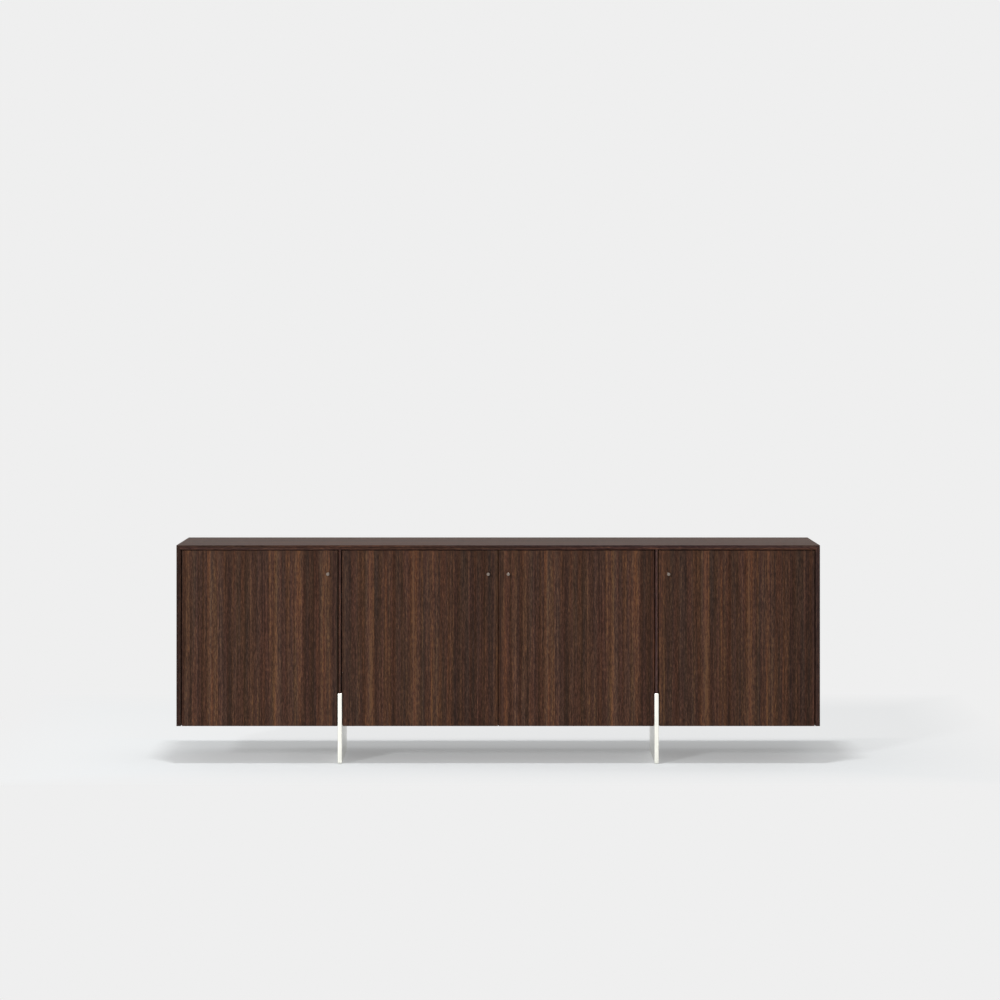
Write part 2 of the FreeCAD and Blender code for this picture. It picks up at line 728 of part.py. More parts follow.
def make_leg_blades():
    blade = new_body("left_leg_blade")
    leg_rear = f"({LEG_FRONT} + dims.leg_run)"
    pad(
        blade, "YZ", f"{DIVIDER} - dims.leg_plate / 2", "dims.leg_plate",
        polygon(
            (LEG_FRONT, "dims.glide_lift"), (LEG_FRONT, UPRIGHT_TOP), (UPRIGHT_REAR, UPRIGHT_TOP),
            (UPRIGHT_REAR, "dims.leg_height"), (leg_rear, "dims.leg_height"), (leg_rear, "dims.glide_lift"),
        ),
    )
    inner_corner = value(UPRIGHT_REAR)
    underside = value("dims.leg_height")

    def outer_corner(edge):
        box = edge.BoundBox
        inner = abs(box.YMin - inner_corner) < 1e-4 and abs(box.ZMin - underside) < 1e-4
        seat = abs(box.ZMin - underside) < 1e-4
        return runs_along(edge, "X") and not inner and not seat

    soften(blade, "Fillet", "dims.leg_corner", outer_corner)

    def outer_rim(edge):
        box = edge.BoundBox
        seat = box.ZMax - box.ZMin < 1e-4 and abs(box.ZMin - underside) < 1e-4
        behind = abs(box.YMin - inner_corner) < 1e-4 and box.YLength < 1e-4
        return box.XLength < 1e-4 and not seat and not behind

    soften(blade, "Fillet", "dims.leg_edge", outer_rim)
    hole = "dims.bolt_diameter + 2 * dims.joint_play"
    holes = [circle(DIVIDER, f"{FLANGE_MIDDLE} + {y}", hole) for y in bolt_places()]
    pocket(blade, "XY", "dims.leg_height", -1, "dims.bolt_reach + dims.joint_play", *holes)
    hole = "dims.glide_stem + 2 * dims.joint_play"
    holes = [circle(DIVIDER, y, hole) for y in glide_places()]
    pocket(blade, "XY", "dims.glide_lift", 1, "dims.glide_stem_reach + dims.joint_play", *holes)
    keep(blade, mirror(blade, "right_leg_blade"))


def countersink(body, level, direction, places, diameter, head):
    """Through holes with a 90 degree countersink that starts at the level."""
    cone_depth = f"(({head} - {diameter}) / 2)"
    shank = f"{diameter} + 2 * dims.joint_play"
    pocket(body, "XY", level, direction, "dims.flange_plate", *[circle(x, y, shank) for x, y in places])
    mouth = f"{head} + 2 * dims.joint_play"
    cone = pocket(body, "XY", level, direction, cone_depth, *[circle(x, y, mouth) for x, y in places])
    cone.TaperAngle = -45


def make_leg_flanges():
    flange = new_body("leg_flange")
    half_width = "(dims.flange_width / 2)"
    half_length = "(dims.flange_length / 2)"
    pad(
        flange, "XY", "dims.leg_height", "dims.flange_plate",
        rectangle(
            f"{DIVIDER} - {half_width}", f"{DIVIDER} + {half_width}",
            f"{FLANGE_MIDDLE} - {half_length}", f"{FLANGE_MIDDLE} + {half_length}",
        ),
    )
    round_flange_corners(flange, "dims.flange_corner")
    bolts = [(DIVIDER, f"{FLANGE_MIDDLE} + {y}") for y in bolt_places()]
    countersink(flange, FLANGE_TOP, -1, bolts, "dims.bolt_diameter", "dims.bolt_head")
    screws = [(f"{DIVIDER} + {x}", f"{FLANGE_MIDDLE} + {y}") for x, y in flange_screw_places()]
    countersink(flange, "dims.leg_height", 1, screws, "dims.leg_screw_diameter", "dims.leg_screw_head")
    keep(both_sides(flange, "leg_flanges"))


def make_leg_fasteners():
    bolts = []
    for index, y in enumerate(bolt_places()):
        bolt = new_body(f"leg_bolt_{index}", DIVIDER, f"{FLANGE_MIDDLE} + {y}", FLANGE_TOP)
        radius = "dims.bolt_diameter / 2"
        turn(
            bolt, "Z",
            ("0", "0"), ("dims.bolt_head / 2", "0"), (radius, "-(dims.bolt_head - dims.bolt_diameter) / 2"),
            (radius, "-dims.flange_plate - dims.bolt_reach"), ("0", "-dims.flange_plate - dims.bolt_reach"),
        )
        bolts.append(bolt)
    keep(both_sides(group("left_leg_bolts", *bolts), "leg_bolts"))
    screws = []
    for index, (x, y) in enumerate(flange_screw_places()):
        screws.append(
            countersunk_screw(
                f"leg_screw_{index}", f"{DIVIDER} + {x}", f"{FLANGE_MIDDLE} + {y}", "dims.leg_height",
                "dims.leg_screw_diameter", "dims.leg_screw_head",
                "dims.leg_screw_reach", "dims.flange_plate",
            )
        )
    keep(both_sides(group("left_leg_screws", *screws), "leg_screws"))


def make_glides():
    glides = []
    for index, y in enumerate(glide_places()):
        glide = new_body(f"glide_{index}", DIVIDER, y, "0")
        stem = "dims.glide_stem / 2"
        disc = "dims.glide_diameter / 2"
        tip = "dims.glide_lift + dims.glide_stem_reach"
        turn(
            glide, "Z",
            ("0", "0"), (f"{disc} - dims.glide_lift / 4", "0"), (disc, "dims.glide_lift / 4"),
            (disc, "dims.glide_lift"), (stem, "dims.glide_lift"), (stem, tip), ("0", tip),
        )
        glides.append(glide)
    keep(both_sides(group("left_glides", *glides), "floor_glides"))


# Magnetic catches under the top, one behind each door's opening edge
def catch_screw_offsets():
    offset = "(dims.catch_width / 2 + dims.catch_ear_reach / 2)"
    return minus(offset), offset


def catch_screw_xs():
    return [f"({KNOB_X} + {door} * {DOOR_PITCH} + {x})" for door in (0, 1) for x in catch_screw_offsets()]


def make_catches():
    catch = new_body("catch", KNOB_X, CATCH_FRONT, CEILING)
    half = "(dims.catch_width / 2)"
    ears = f"({half} + dims.catch_ear_reach)"
    pad(
        catch, "XZ", "0", "dims.catch_depth",
        polygon(
            (minus(ears), "0"), (ears, "0"), (ears, "-dims.catch_ear"), (half, "-dims.catch_ear"),
            (half, "-dims.catch_height"), (minus(half), "-dims.catch_height"),
            (minus(half), "-dims.catch_ear"), (minus(ears), "-dims.catch_ear"),
        ),
    )
    hole = "dims.catch_screw_diameter + 2 * dims.joint_play"
    holes = [circle(x, "dims.catch_depth / 2", hole) for x in catch_screw_offsets()]
    pocket(catch, "XY", "0", -1, "dims.catch_ear", *holes)
    second = copy_at(catch, "second_catch", DOOR_PITCH)
    keep(both_sides(group("left_catches", catch, second), "magnetic_catches"))
    screws = []
    for index, x in enumerate(catch_screw_xs()):
        reach = "dims.catch_screw_reach + dims.catch_ear"
        screw = pan_screw(f"catch_screw_{index}", "Z", "-1", "catch_screw", reach)
        place(screw, x, CATCH_SCREW_Y, f"{CEILING} - dims.catch_ear")
        screws.append(screw)
    keep(both_sides(group("left_catch_screws", *screws), "catch_screws"))


# Concealed hinges, each turning on one plain pin in its cup
def wing_screw_holes():
    hole = "dims.hinge_screw_diameter + 2 * dims.joint_play"
    y = f"{PIVOT_Y} + {ARM_MIDDLE}"
    holes = []
    for level in (HINGE_LOW, f"({HINGE_LOW} + {HINGE_SPACING})"):
        holes += [circle(y, f"{level} + {side} * dims.wing_screw_spacing / 2", hole) for side in (-1, 1)]
    return holes


def hinge_pair(item, label):
    """The piece at the lower hinge and its copy at the upper one."""
    return group(label, item, copy_at(item, f"{label}_upper", z=HINGE_SPACING))


def make_hinge_arm():
    arm = new_body("hinge_arm", PIVOT_X, PIVOT_Y, HINGE_LOW)
    half = "(dims.arm_width / 2)"
    pad(
        arm, "XY", minus(half), "dims.arm_width",
        polygon(
            ("0", minus(EYE)), (ARM_OUTER, minus(EYE)), (ARM_OUTER, f"{ARM_RUN} + dims.arm_strip"),
            (RAIL_TOP, f"{ARM_RUN} + dims.arm_strip"), (RAIL_TOP, ARM_RUN), (ARM_INNER, ARM_RUN),
            (ARM_INNER, f"dims.arm_strip - {EYE}"), ("0", f"dims.arm_strip - {EYE}"),
        ),
    )
    outer = value(ARM_OUTER)
    inner = value(ARM_INNER)
    soften(
        arm, "Fillet", "dims.arm_bend",
        lambda edge: runs_along(edge, "Z") and abs(edge.BoundBox.XMin - inner) < 1e-4,
    )
    soften(
        arm, "Fillet", "dims.arm_bend + dims.arm_strip",
        lambda edge: runs_along(edge, "Z") and abs(edge.BoundBox.XMin - outer) < 1e-4 and edge.Length > 1,
    )
    pad(arm, "XY", minus(half), "dims.arm_width", circle("0", "0", f"2 * {EYE}"))
    bore = "dims.hinge_pin + 2 * dims.running_play"
    pocket(arm, "XY", minus(half), 1, "dims.arm_width", circle("0", "0", bore))
    outside = f"({half} + dims.arm_sheet + dims.joint_play)"
    inside = f"({half} + dims.joint_play)"
    legs = f"({WING_TOP} + dims.joint_play)"
    pad(
        arm, "XZ", ARM_RUN, "dims.arm_length",
        polygon(
            (legs, minus(outside)), (WEB, minus(outside)), (WEB, outside), (legs, outside),
            (legs, inside), (RAIL_TOP, inside), (RAIL_TOP, minus(inside)), (legs, minus(inside)),
        ),
    )
    hole = "dims.arm_screw_diameter + 2 * dims.joint_play"
    holes = [circle(y, "0", hole) for y in arm_screw_places()]
    pocket(arm, "YZ", WEB, -1, "dims.arm_sheet", *holes)
    return arm


def arm_screw_places():
    return [f"{ARM_MIDDLE} + {side} * dims.arm_screw_spacing / 2" for side in (-1, 1)]


def make_hinge_plate():
    plate = new_body("hinge_plate", PIVOT_X, PIVOT_Y, HINGE_LOW)
    half = "(dims.arm_width / 2)"
    rail_start = f"({ARM_RUN} + dims.arm_strip + dims.joint_play)"
    rail_length = f"({ARM_RUN} + dims.arm_length - {rail_start})"
    pad(plate, "XZ", rail_start, rail_length, rectangle(WALL, RAIL_TOP, minus(half), half))
    wing = "(dims.wing_screw_spacing / 2 + dims.wing_margin)"
    pad(
        plate, "YZ", WALL, "dims.wing_sheet",
        rectangle(
            f"{ARM_MIDDLE} - dims.wing_width / 2", f"{ARM_MIDDLE} + dims.wing_width / 2",
            minus(wing), wing,
        ),
    )
    reach = value(wing)
    soften(
        plate, "Fillet", "dims.wing_margin / 2",
        lambda edge: runs_along(edge, "X") and abs(abs(edge.BoundBox.ZMin) - reach) < 1e-4,
    )
    hole = "dims.hinge_screw_diameter + 2 * dims.joint_play"
    holes = [circle(ARM_MIDDLE, f"{side} * dims.wing_screw_spacing / 2", hole) for side in (-1, 1)]
    pocket(plate, "YZ", WING_TOP, -1, "dims.wing_sheet", *holes)
    hole = "dims.arm_screw_diameter + 2 * dims.joint_play"
    holes = [circle(y, "0", hole) for y in arm_screw_places()]
    pocket(plate, "YZ", RAIL_TOP, -1, "dims.arm_screw_reach + dims.joint_play", *holes)
    return plate


def make_hinge_cup():
    cup = new_body("hinge_cup", CUP_X, PIVOT_Y, HINGE_LOW)
    rim = f"({CUP_OUTSIDE} + dims.cup_rim_overlap)"
    face = "(dims.pivot_depth + dims.cup_rim)"
    turn(
        cup, "Y",
        ("0", CUP_BASE), (CUP_OUTSIDE, CUP_BASE), (CUP_OUTSIDE, "dims.pivot_depth"),
        (rim, "dims.pivot_depth"), (rim, face), ("0", face),
    )
    ear = "(dims.cup_screw_spacing / 2 + dims.cup_ear_margin)"
    half = "(dims.cup_ear_width / 2)"
    pad(cup, "XZ", "dims.pivot_depth", "dims.cup_rim", rectangle(minus(half), half, minus(ear), ear))
    reach = value(ear)
    soften(
        cup, "Fillet", "dims.cup_ear_margin - dims.joint_play",
        lambda edge: runs_along(edge, "Y") and abs(abs(edge.BoundBox.ZMin) - reach) < 1e-4,
    )
    pocket(cup, "XZ", face, -1, f"{face} - {CUP_FLOOR}", circle("0", "0", f"2 * {CUP_INSIDE}"))
    hole = "dims.hinge_screw_diameter + 2 * dims.joint_play"
    pocket(cup, "XZ", face, -1, "dims.cup_rim", *[circle("0", z, hole) for z in cup_screw_places()])
    bore = "dims.hinge_pin + 2 * dims.running_play"
    pocket(cup, "XY", minus(CUP_OUTSIDE), 1, f"2 * {CUP_OUTSIDE}", circle("-dims.cup_offset", "0", bore))
    return cup


def cup_screw_places():
    return ["-dims.cup_screw_spacing / 2", "dims.cup_screw_spacing / 2"]


def make_hinge_pin():
    pin = new_body("hinge_pin", PIVOT_X, PIVOT_Y, HINGE_LOW)
    end = f"(sqrt({CUP_INSIDE} ^ 2 - dims.cup_offset ^ 2) + dims.cup_wall / 2)"
    radius = "dims.hinge_pin / 2"
    turn(pin, "Z", ("0", minus(end)), (radius, minus(end)), (radius, end), ("0", end))
    return pin


def make_hinge_screws():
    """Cup screws, plate screws and arm screws of one hinge."""
    cup_screws = []
    plate_screws = []
    arm_screws = []
    for index, z in enumerate(cup_screw_places()):
        reach = "dims.hinge_screw_reach + dims.cup_rim"
        screw = pan_screw(f"cup_screw_{index}", "Y", "1", "hinge_screw", reach)
        place(screw, CUP_X, f"{DOOR_BACK} + dims.cup_rim", f"{HINGE_LOW} + {z}")
        cup_screws.append(screw)
    for index, side in enumerate((-1, 1)):
        reach = "dims.wing_screw_reach + dims.wing_sheet"
        screw = pan_screw(f"plate_screw_{index}", "X", "1", "hinge_screw", reach)
        level = f"{HINGE_LOW} + {side} * dims.wing_screw_spacing / 2"
        place(screw, f"{PIVOT_X} + {WING_TOP}", f"{PIVOT_Y} + {ARM_MIDDLE}", level)
        plate_screws.append(screw)
    for index, y in enumerate(arm_screw_places()):
        reach = "dims.arm_screw_reach + dims.arm_sheet"
        screw = pan_screw(f"arm_screw_{index}", "X", "1", "arm_screw", reach)
        place(screw, f"{PIVOT_X} + {WEB}", f"{PIVOT_Y} + {y}", HINGE_LOW)
        arm_screws.append(screw)
    return (
        group("cup_screw_set", *cup_screws),
        group("plate_screw_set", *plate_screws),
        group("arm_screw_set", *arm_screws),
    )


# Doors and everything that swings with them
def door_outline(shift, notched):
    left = f"({DOOR_LEFT} + {shift})"
    right = f"({DOOR_RIGHT} + {shift})"
    low = "dims.leg_height"
    if notched == "left":
        inner = f"({left} + {NOTCH})"
        return polygon(
            (inner, low), (right, low), (right, DOOR_TOP),
            (left, DOOR_TOP), (left, NOTCH_TOP), (inner, NOTCH_TOP),
        )
    inner = f"({right} - {NOTCH})"
    return polygon(
        (left, low), (inner, low), (inner, NOTCH_TOP),
        (right, NOTCH_TOP), (right, DOOR_TOP), (left, DOOR_TOP),
    )


def make_door(label, shift, notched):
    """A door, as far from the left door's place as the shift says, notched on the side of the leg."""
    door = new_body(label)
    pad(door, "XZ", FRONT, "dims.door_board", door_outline(shift, notched))
    soften(door, "Chamfer", "dims.arris", lambda edge: not runs_along(edge, "Y"))
    levels = (HINGE_LOW, f"({HINGE_LOW} + {HINGE_SPACING})")
    cup_x = f"({CUP_X} + {shift})"
    knob_x = f"({KNOB_X} + {shift})"
    cup = f"2 * ({CUP_OUTSIDE} + dims.joint_play)"
    depth = f"dims.pivot_depth - {CUP_BASE} + dims.joint_play"
    pocket(door, "XZ", DOOR_BACK, -1, depth, *[circle(cup_x, level, cup) for level in levels])
    hole = "dims.hinge_screw_diameter + 2 * dims.joint_play"
    holes = [circle(cup_x, f"{level} + {z}", hole) for level in levels for z in cup_screw_places()]
    pocket(door, "XZ", DOOR_BACK, -1, HINGE_SCREW_HOLE, *holes)
    hole = "dims.knob_screw_diameter + 2 * dims.joint_play"
    pocket(door, "XZ", DOOR_BACK, -1, "dims.door_board", circle(knob_x, KNOB_Z, hole))
    hole = "dims.strike_stem + 2 * dims.joint_play"
    depth = "dims.strike_stem_reach + dims.joint_play"
    pocket(door, "XZ", DOOR_BACK, -1, depth, circle(knob_x, STRIKE_Z, hole))
    return door


def make_knob():
    knob = new_body("left_door_knob", KNOB_X, FRONT, KNOB_Z)
    neck = "(dims.knob_neck / 2)"
    head = "(dims.knob_diameter / 2)"
    turn(
        knob, "Y",
        ("0", "0"), (neck, "0"), (neck, "-dims.knob_neck_length"),
        (f"{head} - dims.knob_bevel", "-dims.knob_neck_length - dims.knob_bevel"),
        (head, "-dims.knob_neck_length - 3 * dims.knob_bevel"),
        (head, "dims.knob_bevel - dims.knob_reach"), (f"{head} - dims.knob_bevel", "-dims.knob_reach"),
        ("0", "-dims.knob_reach"),
    )
    hole = "dims.knob_screw_diameter + 2 * dims.joint_play"
    depth = "dims.knob_screw_reach + dims.joint_play"
    pocket(knob, "XZ", "0", -1, depth, circle("0", "0", hole))
    return knob


def make_knob_screw():
    reach = "dims.door_board + dims.knob_screw_reach"
    screw = pan_screw("left_door_knob_screw", "Y", "1", "knob_screw", reach)
    place(screw, KNOB_X, DOOR_BACK, KNOB_Z)
    return screw


def make_strike():
    strike = new_body("left_door_strike", KNOB_X, DOOR_BACK, STRIKE_Z)
    disc = "dims.strike_diameter / 2"
    stem = "dims.strike_stem / 2"
    turn(
        strike, "Y",
        ("0", "-dims.strike_stem_reach"), (stem, "-dims.strike_stem_reach"), (stem, "0"), (disc, "0"),
        (disc, "dims.strike_sheet"), ("0", "dims.strike_sheet"),
    )
    return strike


def make_bumpers():
    pieces = []
    level = "dims.leg_height + dims.bottom_board / 2"
    radius = "dims.bumper_diameter / 2"
    shoulder = f"{radius} - dims.bumper_thickness / 2"
    for index, x in enumerate((f"{DOOR_LEFT} + dims.bumper_inset", f"{DOOR_RIGHT} - dims.bumper_inset")):
        bumper = new_body(f"bumper_{index}", x, DOOR_BACK, level)
        turn(
            bumper, "Y",
            ("0", "0"), (radius, "0"), (radius, "dims.bumper_thickness / 2"),
            (shoulder, "dims.bumper_thickness"), ("0", "dims.bumper_thickness"),
        )
        pieces.append(bumper)
    return group("left_door_bumpers", *pieces)


def for_each_door(item, ending=""):
    """The left door's piece, and its copies on the other three doors."""
    centre = copy_at(item, f"centre_left_door{ending}", DOOR_PITCH)
    keep(item, centre, mirror(item, f"right_door{ending}"), mirror(centre, f"centre_right_door{ending}"))


def for_all_hinges(item, label):
    """One node that holds the piece at every hinge of the four doors."""
    pair = hinge_pair(item, f"{label}_left")
    keep(both_sides(group(f"{label}_half", pair, copy_at(pair, f"{label}_centre", DOOR_PITCH)), label))


def make_doors():
    outer = make_door("left_door", "0", "right")
    inner = make_door("centre_left_door", DOOR_PITCH, "left")
    keep(outer, inner, mirror(outer, "right_door"), mirror(inner, "centre_right_door"))
    for_each_door(make_knob(), "_knob")
    for_each_door(make_knob_screw(), "_knob_screw")
    for_each_door(make_strike(), "_strike")
    for_each_door(make_bumpers(), "_bumpers")
    for_each_door(hinge_pair(make_hinge_cup(), "left_door_hinge_cups"), "_hinge_cups")
    for_each_door(hinge_pair(make_hinge_pin(), "left_door_hinge_pins"), "_hinge_pins")
    cup_screws, plate_screws, arm_screws = make_hinge_screws()
    for_each_door(hinge_pair(cup_screws, "left_door_cup_screws"), "_cup_screws")
    for_each_door(hinge_pair(make_hinge_arm(), "left_door_hinge_arms"), "_hinge_arms")
    for_all_hinges(make_hinge_plate(), "hinge_plates")
    for_all_hinges(plate_screws, "hinge_plate_screws")
    for_all_hinges(arm_screws, "hinge_arm_screws")


def check():
    """Stops before anything is written if a feature failed, cut nothing, or left a bad shape."""
    for item in doc.Objects:
        if "Invalid" in item.State or "Error" in item.State:
            raise RuntimeError(f"{item.Label} failed: {item.State}")
        if item.TypeId == "PartDesign::Pocket" and item.Shape.Volume > item.BaseFeature.Shape.Volume - 0.01:
            raise RuntimeError(f"{item.Label} cuts nothing")
    for item in finished:
        if item.Shape.isNull() or not item.Shape.isValid() or not item.Shape.Solids:
            raise RuntimeError(f"{item.Label} has a bad shape")


def main():
    make_top()
    make_sides()
    make_bottom()
    make_back()
    make_dividers()
    make_shelves()
    make_dowels()
    make_splines()
    make_leg_blades()
    make_leg_flanges()
    make_leg_fasteners()
    make_glides()
    make_catches()
    make_doors()
    doc.recompute()
    check()
    os.makedirs("parts", exist_ok=True)
    for item in finished:
        item.Shape.exportStep(f"parts/{item.Label}.step")


main()
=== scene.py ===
import math

import bpy
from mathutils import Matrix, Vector


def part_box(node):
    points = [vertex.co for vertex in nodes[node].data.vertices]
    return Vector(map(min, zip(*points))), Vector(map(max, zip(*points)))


# Looks of the sideboard: veneer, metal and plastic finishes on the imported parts, studio light and camera.
# Lengths are metres, in the frame of the part: the doors face -Y, Z is up and the floor is at zero.

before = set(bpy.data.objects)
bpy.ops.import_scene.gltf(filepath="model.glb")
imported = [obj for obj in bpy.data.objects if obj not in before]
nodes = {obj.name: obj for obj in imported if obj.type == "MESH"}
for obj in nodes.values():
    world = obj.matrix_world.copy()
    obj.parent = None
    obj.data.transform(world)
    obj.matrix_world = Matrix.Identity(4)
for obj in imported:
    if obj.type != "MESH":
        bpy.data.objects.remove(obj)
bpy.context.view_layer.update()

DOORS = ("left_door", "centre_left_door", "centre_right_door", "right_door")
PART_ORIGIN = (0.0, 0.0, 0.0)
WHITE = (1.0, 1.0, 1.0)
WHOLE_SPAN = (0.0, 1.0)
# Nearly all values of a noise lie in this span
NOISE_SPAN = (0.3, 0.7)
# Places of a mix node's colour sockets, which have the same names as its other sockets
MIX_FIRST = 6
MIX_SECOND = 7
MIX_RESULT = 2


# Node trees
def rgba(colour):
    return (*colour, 1.0)


def scaled(colour, factor):
    return tuple(factor * channel for channel in colour)


def add(tree, kind, **settings):
    node = tree.nodes.new(kind)
    for name, setting in settings.items():
        setattr(node, name, setting)
    return node


def feed(tree, target, source):
    """Sets a socket to a value, or links it to another socket."""
    if isinstance(source, bpy.types.NodeSocket):
        tree.links.new(source, target)
    else:
        target.default_value = source


def empty_tree(owner):
    """The emptied node tree of a material or world."""
    owner.use_nodes = True
    tree = owner.node_tree
    tree.nodes.clear()
    return tree


def new_material(name):
    material = bpy.data.materials.new(name)
    tree = empty_tree(material)
    shader = add(tree, "ShaderNodeBsdfPrincipled")
    output = add(tree, "ShaderNodeOutputMaterial")
    tree.links.new(shader.outputs["BSDF"], output.inputs["Surface"])
    return material, tree, shader


def axes_of(tree, kind):
    """X, Y and Z of the part coordinates ("Object") or of the way a surface faces ("Normal")."""
    coordinates = add(tree, "ShaderNodeTexCoord")
    split = add(tree, "ShaderNodeSeparateXYZ")
    tree.links.new(coordinates.outputs[kind], split.inputs["Vector"])
    return split.outputs


def noise(tree, scale, origin=PART_ORIGIN, detail=2.0, roughness=0.5):
    """Noise in part coordinates from an origin, which changes scale times a metre along X, Y and Z."""
    coordinates = add(tree, "ShaderNodeTexCoord")
    mapping = add(tree, "ShaderNodeMapping")
    mapping.inputs["Location"].default_value = [-place * factor for place, factor in zip(origin, scale)]
    mapping.inputs["Scale"].default_value = scale
    tree.links.new(coordinates.outputs["Object"], mapping.inputs["Vector"])
    texture = add(tree, "ShaderNodeTexNoise")
    tree.links.new(mapping.outputs["Vector"], texture.inputs["Vector"])
    texture.inputs["Scale"].default_value = 1.0
    texture.inputs["Detail"].default_value = detail
    texture.inputs["Roughness"].default_value = roughness
    return texture.outputs["Fac"]


def arithmetic(tree, operation, first, second):
    node = add(tree, "ShaderNodeMath", operation=operation)
    feed(tree, node.inputs[0], first)
    feed(tree, node.inputs[1], second)
    return node.outputs["Value"]


def remap(tree, source, span, result=WHOLE_SPAN):
    """A source that goes through a span, moved into the result's span and held at its ends."""
    node = add(tree, "ShaderNodeMapRange")
    feed(tree, node.inputs["Value"], source)
    for name, value in zip(("From Min", "From Max", "To Min", "To Max"), (*span, *result)):
        node.inputs[name].default_value = value
    return node.outputs["Result"]


def ramp(tree, source, stops):
    """A colour ramp with (place, colour) stops."""
    node = add(tree, "ShaderNodeValToRGB")
    elements = node.color_ramp.elements
    while len(elements) < len(stops):
        elements.new(1.0)
    for element, (place, colour) in zip(elements, stops):
        element.position = place
        element.color = rgba(colour)
    feed(tree, node.inputs["Fac"], source)
    return node.outputs["Color"]


def shade(tree, source, span, first, last):
    """A colour that goes from first to last as the source goes through a span."""
    return ramp(tree, source, list(zip(span, (first, last))))


def tint(tree, factor, first, second, blend="MIX"):
    node = add(tree, "ShaderNodeMix", data_type="RGBA", blend_type=blend)
    feed(tree, node.inputs[0], factor)
    feed(tree, node.inputs[MIX_FIRST], first)
    feed(tree, node.inputs[MIX_SECOND], second)
    return node.outputs[MIX_RESULT]


def times(tree, first, second):
    return tint(tree, 1.0, first, second, "MULTIPLY")


def bump(tree, shader, height, strength, distance):
    node = add(tree, "ShaderNodeBump")
    node.inputs["Strength"].default_value = strength
    node.inputs["Distance"].default_value = distance
    tree.links.new(height, node.inputs["Height"])
    tree.links.new(node.outputs["Normal"], shader.inputs["Normal"])


def glowing(tree, kind, colour, strength=1.0):
    """An emission or background node of one colour."""
    node = add(tree, kind)
    node.inputs["Color"].default_value = rgba(colour)
    node.inputs["Strength"].default_value = strength
    return node


def layered(tree, surface, *layers):
    """A surface with (share, shader) layers laid over it in turn."""
    for share, layer in layers:
        mixed = add(tree, "ShaderNodeMixShader")
        tree.links.new(share, mixed.inputs["Fac"])
        tree.links.new(surface, mixed.inputs[1])
        tree.links.new(layer, mixed.inputs[2])
        surface = mixed.outputs["Shader"]
    return surface


# Veneer: colours from the darkest band to the lightest streak, and factors on them
DARK_BAND = (0.034, 0.019, 0.0155)
MID_BAND = (0.071, 0.0395, 0.0293)
RED_BAND = (0.095, 0.0515, 0.0365)
LIGHT_STREAK = (0.178, 0.0945, 0.0535)
VENEER_STOPS = ((0.0, DARK_BAND), (0.40, MID_BAND), (0.62, RED_BAND), (1.0, LIGHT_STREAK))
PORE = (0.020, 0.012, 0.010)
STAIN = (0.768, 0.670, 0.605)
COOL_CAST = (0.91, 0.985, 1.13)
WARM_CAST = (1.075, 1.0, 0.88)
RED_CAST = (1.08, 0.965, 0.96)
OLIVE_CAST = (0.94, 1.025, 1.0)
EDGE_CAST = (0.97, 1.04, 1.28)
LACQUER_TINT = (1.0, 0.86, 0.67)

# Noise layers that run along the grain: changes a metre across and along it, detail and roughness
BANDS = (26.0, 0.50, 3.0, 0.55)
LEAF_BANDS = (48.0, 0.35, 3.0, 0.6)
FIBRES = (230.0, 1.6, 4.0, 0.6)
FLECKS = (290.0, 14.0, 3.0, 0.6)
SPECKS = (330.0, 70.0, 2.0, 0.6)
PORES = (850.0, 26.0, 2.0, 0.5)
WARMTH = (75.0, 1.0, 2.0, 0.6)
BLUSH = (60.0, 1.4, 2.0, 0.6)
BOARD_BANDS = (34.0, 0.9, 3.0, 0.55)
BOARD_FIBRES = (420.0, 9.0, 3.0, 0.6)

# Strengths of the veneer's layers
FIGURE_WEIGHTS = (0.25, 1.3, 1.1, 1.65)
PLAIN_STREAKS = (0.2, 0.6)
PORE_SPAN = (0.60, 0.70)
PORE_DEPTH = 0.75
CAST_SPAN = (0.36, 0.64)
FIBRE_RELIEF = 0.5
VENEER_ROUGHNESS = (0.46, 0.58)
VENEER_SATIN = 0.08
TOP_SATIN = 0.03
STREAK_WAVE = (5.0, 5.0, 1.6)
STREAK_WANDER = 0.0012
STREAK_HALF = 0.018
STREAK_LIFT = 0.34
LEAF_LIGHTNESS = (0.06, 0.66)
# Y of the direction a surface faces, from the front to another side
FRONT_SPAN = (-0.9, -0.5)

# Two veneer leaves by their few clear light streaks, as places from a leaf's left edge
LEAF_MARGIN = 0.10
LEAF_A = (0.210, 0.425, 0.590)
LEAF_B = (0.045, 0.195, 0.345, 0.415)


def grain_noise(tree, grain, layer, origin=PART_ORIGIN):
    """A noise layer that runs along X or Z."""
    across, along, detail, roughness = layer
    scale = (along, across, across) if grain == "X" else (across, across, along)
    return noise(tree, scale, origin, detail, roughness)


def weighted(tree, terms):
    """Sum of (source, weight) terms, each counted from its middle value of a half."""
    total = None
    for source, weight in terms:
        term = remap(tree, source, WHOLE_SPAN, (-weight / 2, weight / 2))
        total = term if total is None else arithmetic(tree, "ADD", total, term)
    return total


def streaks_of_leaf(tree, leaf, origin):
    """Lightness across a leaf: bands of noise, and a few clear streaks, slightly wavy along the grain."""
    left = origin[0]
    level = remap(tree, grain_noise(tree, "Z", LEAF_BANDS, origin), NOISE_SPAN, LEAF_LIGHTNESS)
    wave = noise(tree, STREAK_WAVE, (left, 0.0, 0.0))
    wander = remap(tree, wave, WHOLE_SPAN, (-STREAK_WANDER, STREAK_WANDER))
    across = arithmetic(tree, "ADD", axes_of(tree, "Object")["X"], wander)
    for place in leaf:
        aside = arithmetic(tree, "SUBTRACT", across, left + place)
        squared = arithmetic(tree, "MULTIPLY", aside, aside)
        lift = remap(tree, squared, (0.0, STREAK_HALF ** 2), (STREAK_LIFT, 0.0))
        level = arithmetic(tree, "ADD", level, lift)
    return level


